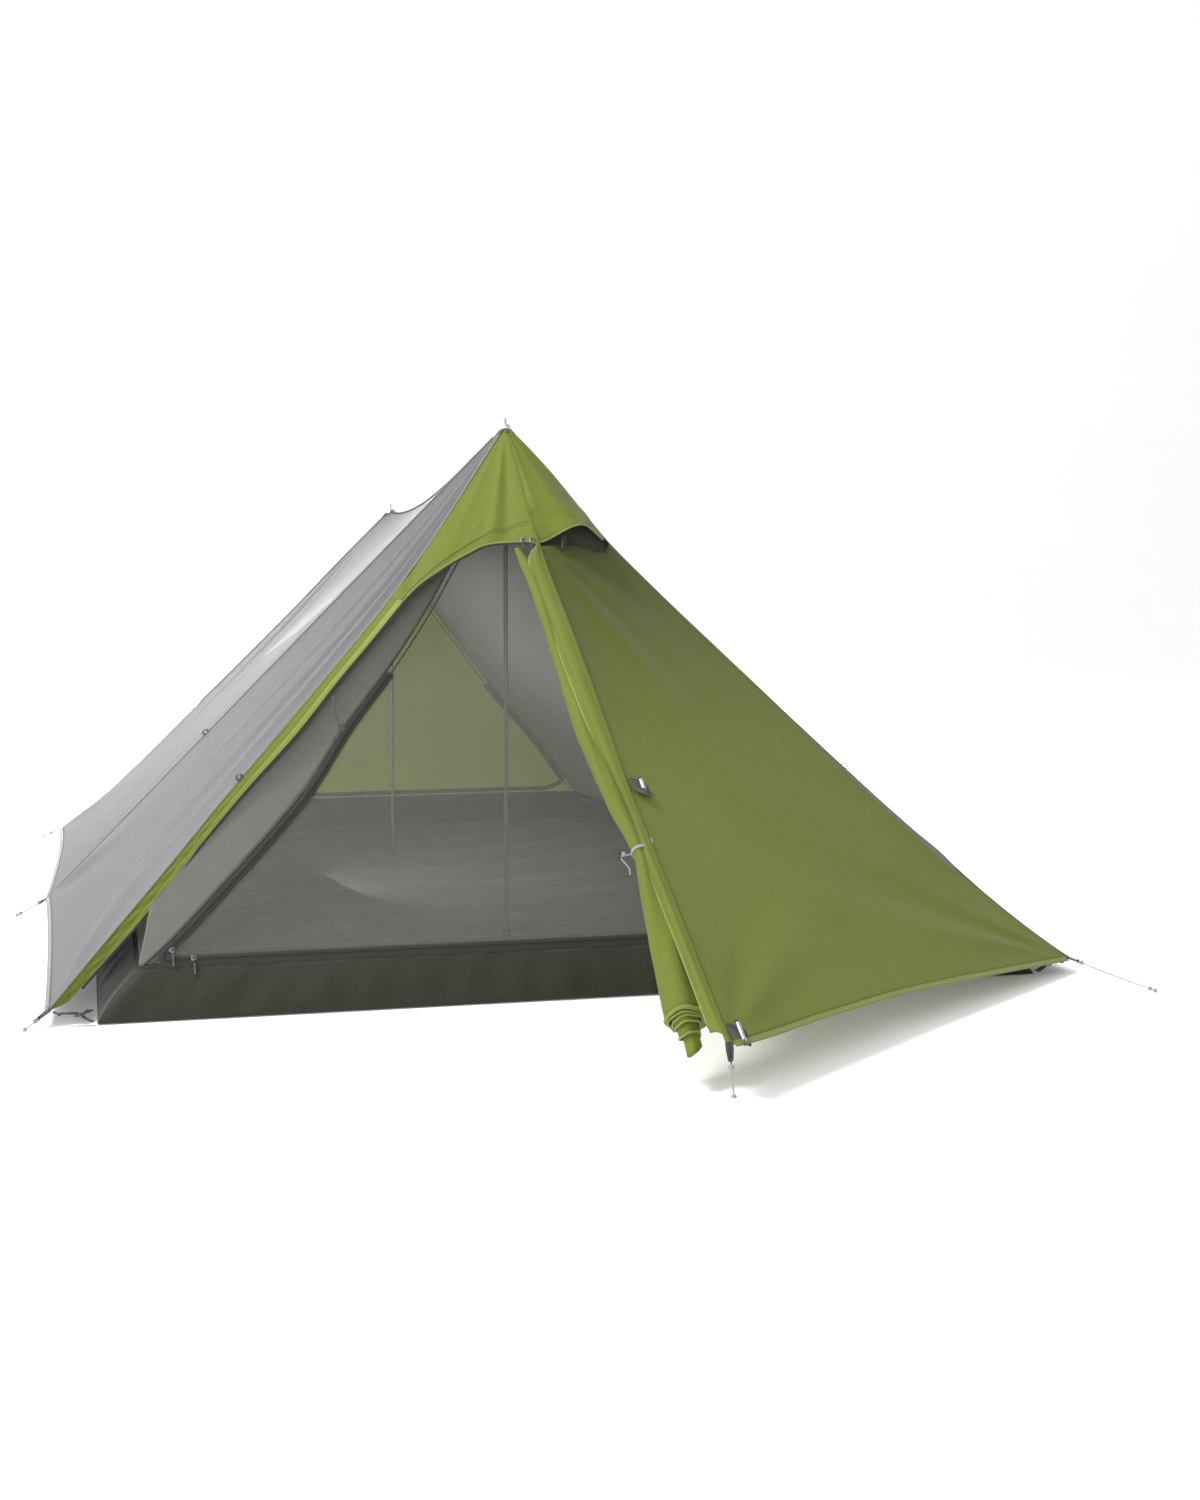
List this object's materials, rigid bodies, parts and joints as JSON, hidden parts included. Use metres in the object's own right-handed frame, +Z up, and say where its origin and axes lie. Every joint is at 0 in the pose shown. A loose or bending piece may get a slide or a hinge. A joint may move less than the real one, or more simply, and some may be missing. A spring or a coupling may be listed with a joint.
{
  "type": "teepee tent",
  "caption": "Two-pole ridge tent with a door rolled back at the head end, a mesh inner tent on a bathtub floor, guylines and a propped vent.",
  "frame": {"origin": "ground level under the middle of the inner tent floor", "axes": "+Y along the ridge towards the low foot end, +X to the right as seen from the door at the head end, +Z up"},
  "size_m": [2.278, 4.41, 1.196],
  "materials": {
    "fly_grey": "coated ripstop nylon, satin",
    "fly_green": "coated ripstop nylon, satin",
    "inner_nylon": "translucent uncoated nylon",
    "mesh": "fine insect mesh, see-through",
    "floor_fabric": "coated heavier nylon",
    "zip_tape": "woven zip tape with coil",
    "pole_tube": "anodised tube",
    "steel": "turned pin",
    "rubber": "moulded",
    "patch": "stiff laminated patch cloth",
    "webbing": "woven webbing",
    "black_plastic": "moulded",
    "toggle_metal": "plain tube",
    "slider_metal": "painted die casting",
    "cord": "braided cord"
  },
  "bodies": {
    "tent": {"corner_straps": "webbing", "door_arch_panel": "fly_green", "door_edge_strip": "fly_green", "door_tie_band": "cord", "door_zip_track": "zip_tape", "floor_sheet": "floor_fabric", "fly_left_foot_panel": "fly_grey", "fly_left_head_panel": "fly_grey", "fly_peak_caps": "patch", "fly_right_foot_panel": "fly_grey", "fly_right_head_panel": "fly_grey", "guyline_foot_left": "cord", "guyline_foot_right": "cord", "guyline_front": "cord", "guyline_head_left": "cord", "guyline_head_right": "cord", "guyline_rear": "cord", "guyline_side_left": "cord", "guyline_side_right": "cord", "inner_door_zips": "zip_tape", "inner_edge_tie": "cord", "inner_peak_rings": "patch", "inner_wall_left": "inner_nylon", "inner_wall_right": "inner_nylon", "mesh_door_foot": "mesh", "mesh_door_head": "mesh", "pole_feet": "rubber", "pole_ferrules": "pole_tube", "pole_foot_lower_section": "pole_tube", "pole_foot_upper_section": "pole_tube", "pole_head_lower_section": "pole_tube", "pole_head_upper_section": "pole_tube", "pole_spikes": "steel", "reinforcement_patches": "patch", "rolled_door": "fly_green", "tub_wall_foot": "floor_fabric", "tub_wall_head": "floor_fabric", "tub_wall_left": "floor_fabric", "tub_wall_right": "floor_fabric", "vent_hood": "fly_green", "vestibule_foot_left": "fly_green", "vestibule_foot_right": "fly_green", "vestibule_head_panel": "fly_green", "webbing_tabs": "webbing"},
    "door_slider_lead": {"door_slider_lead": "slider_metal"},
    "door_slider_tail": {"door_slider_tail": "slider_metal"},
    "door_pull_lead": {"door_pull_lead": "cord"},
    "door_pull_tail": {"door_pull_tail": "cord"},
    "inner_slider_bottom": {"inner_slider_bottom": "slider_metal"},
    "inner_slider_side": {"inner_slider_side": "slider_metal"},
    "inner_pull_bottom": {"inner_pull_bottom": "cord"},
    "inner_pull_side": {"inner_pull_side": "cord"},
    "vent_strut": {"vent_strut": "black_plastic"},
    "door_tie_toggle": {"door_tie_toggle": "black_plastic"},
    "seam_toggle_mid": {"seam_toggle_mid": "toggle_metal"},
    "seam_toggle_hem": {"seam_toggle_hem": "toggle_metal"},
    "corner_hook_head_left": {"corner_hook_head_left": "black_plastic"},
    "corner_hook_head_right": {"corner_hook_head_right": "black_plastic"},
    "corner_hook_foot_left": {"corner_hook_foot_left": "black_plastic"},
    "corner_hook_foot_right": {"corner_hook_foot_right": "black_plastic"}
  },
  "joints": [
    {"name": "door_zip_lead", "type": "hinge", "parent": "tent", "child": "door_slider_lead", "pos_m": [-0.09021, -1.13538, 0.7131], "axis": [-0.3383, -0.633, 0.6963], "range_deg": [0, 57]},
    {"name": "door_zip_tail", "type": "hinge", "parent": "tent", "child": "door_slider_tail", "pos_m": [-0.09021, -1.13538, 0.7131], "axis": [-0.3383, -0.633, 0.6963], "range_deg": [0, 57]},
    {"name": "door_pull_lead_swing", "type": "hinge", "parent": "door_slider_lead", "child": "door_pull_lead", "pos_m": [-0.031, -0.9501, 0.91734], "axis": [-0.916, 0.3912, -0.0894], "range_deg": [-15, 90]},
    {"name": "door_pull_tail_swing", "type": "hinge", "parent": "door_slider_tail", "child": "door_pull_tail", "pos_m": [-0.01313, -0.95825, 0.91861], "axis": [-0.8987, 0.4369, -0.0395], "range_deg": [-15, 90]},
    {"name": "inner_zip_bottom", "type": "slide", "parent": "tent", "child": "inner_slider_bottom", "axis": [1, 0, 0], "range_m": [0, 1.6]},
    {"name": "inner_zip_side", "type": "slide", "parent": "tent", "child": "inner_slider_side", "axis": [0.6012, 0.4334, 0.6714], "range_m": [0, 0.82]},
    {"name": "inner_pull_bottom_swing", "type": "hinge", "parent": "inner_slider_bottom", "child": "inner_pull_bottom", "pos_m": [-0.79192, -1.32055, 0.10335], "axis": [-1, 0, 0], "range_deg": [0, 90]},
    {"name": "inner_pull_side_swing", "type": "hinge", "parent": "inner_slider_side", "child": "inner_pull_side", "pos_m": [-0.83236, -1.31025, 0.11931], "axis": [-1, 0, 0], "range_deg": [0, 90]},
    {"name": "vent_strut_fold", "type": "hinge", "parent": "tent", "child": "vent_strut", "pos_m": [0.05868, -0.95738, 0.90297], "axis": [0.8731, 0.4871, 0.023], "range_deg": [0, 141]},
    {"name": "door_tie_toggle_turn", "type": "hinge", "parent": "tent", "child": "door_tie_toggle", "pos_m": [-0.059, -1.781, 0.351], "axis": [-1, 0, 0], "range_deg": [-90, 90]},
    {"name": "seam_toggle_mid_turn", "type": "hinge", "parent": "tent", "child": "seam_toggle_mid", "pos_m": [0.03284, -1.62812, 0.46517], "axis": [0.4335, -0.4775, 0.7642], "range_deg": [-90, 90]},
    {"name": "seam_toggle_hem_turn", "type": "hinge", "parent": "tent", "child": "seam_toggle_hem", "pos_m": [0.03284, -2.20265, 0.10619], "axis": [0.4335, -0.4775, 0.7642], "range_deg": [-90, 90]},
    {"name": "corner_hook_head_left_drop", "type": "hinge", "parent": "tent", "child": "corner_hook_head_left", "pos_m": [-1.0222, -1.3728, 0.02308], "axis": [-0.2162, -0.9763, 0], "range_deg": [0, 30]},
    {"name": "corner_hook_head_right_drop", "type": "hinge", "parent": "tent", "child": "corner_hook_head_right", "pos_m": [1.0222, -1.3728, 0.02308], "axis": [-0.2162, 0.9763, 0], "range_deg": [0, 30]},
    {"name": "corner_hook_foot_left_drop", "type": "hinge", "parent": "tent", "child": "corner_hook_foot_left", "pos_m": [-0.8372, 1.3656, 0.02308], "axis": [0.405, -0.9143, 0], "range_deg": [0, 30]},
    {"name": "corner_hook_foot_right_drop", "type": "hinge", "parent": "tent", "child": "corner_hook_foot_right", "pos_m": [0.8372, 1.3656, 0.02308], "axis": [0.405, 0.9143, 0], "range_deg": [0, 30]}
  ],
  "couplings": [
    {"joint": "door_zip_tail", "follows": "door_zip_lead", "ratio": 1}
  ]
}
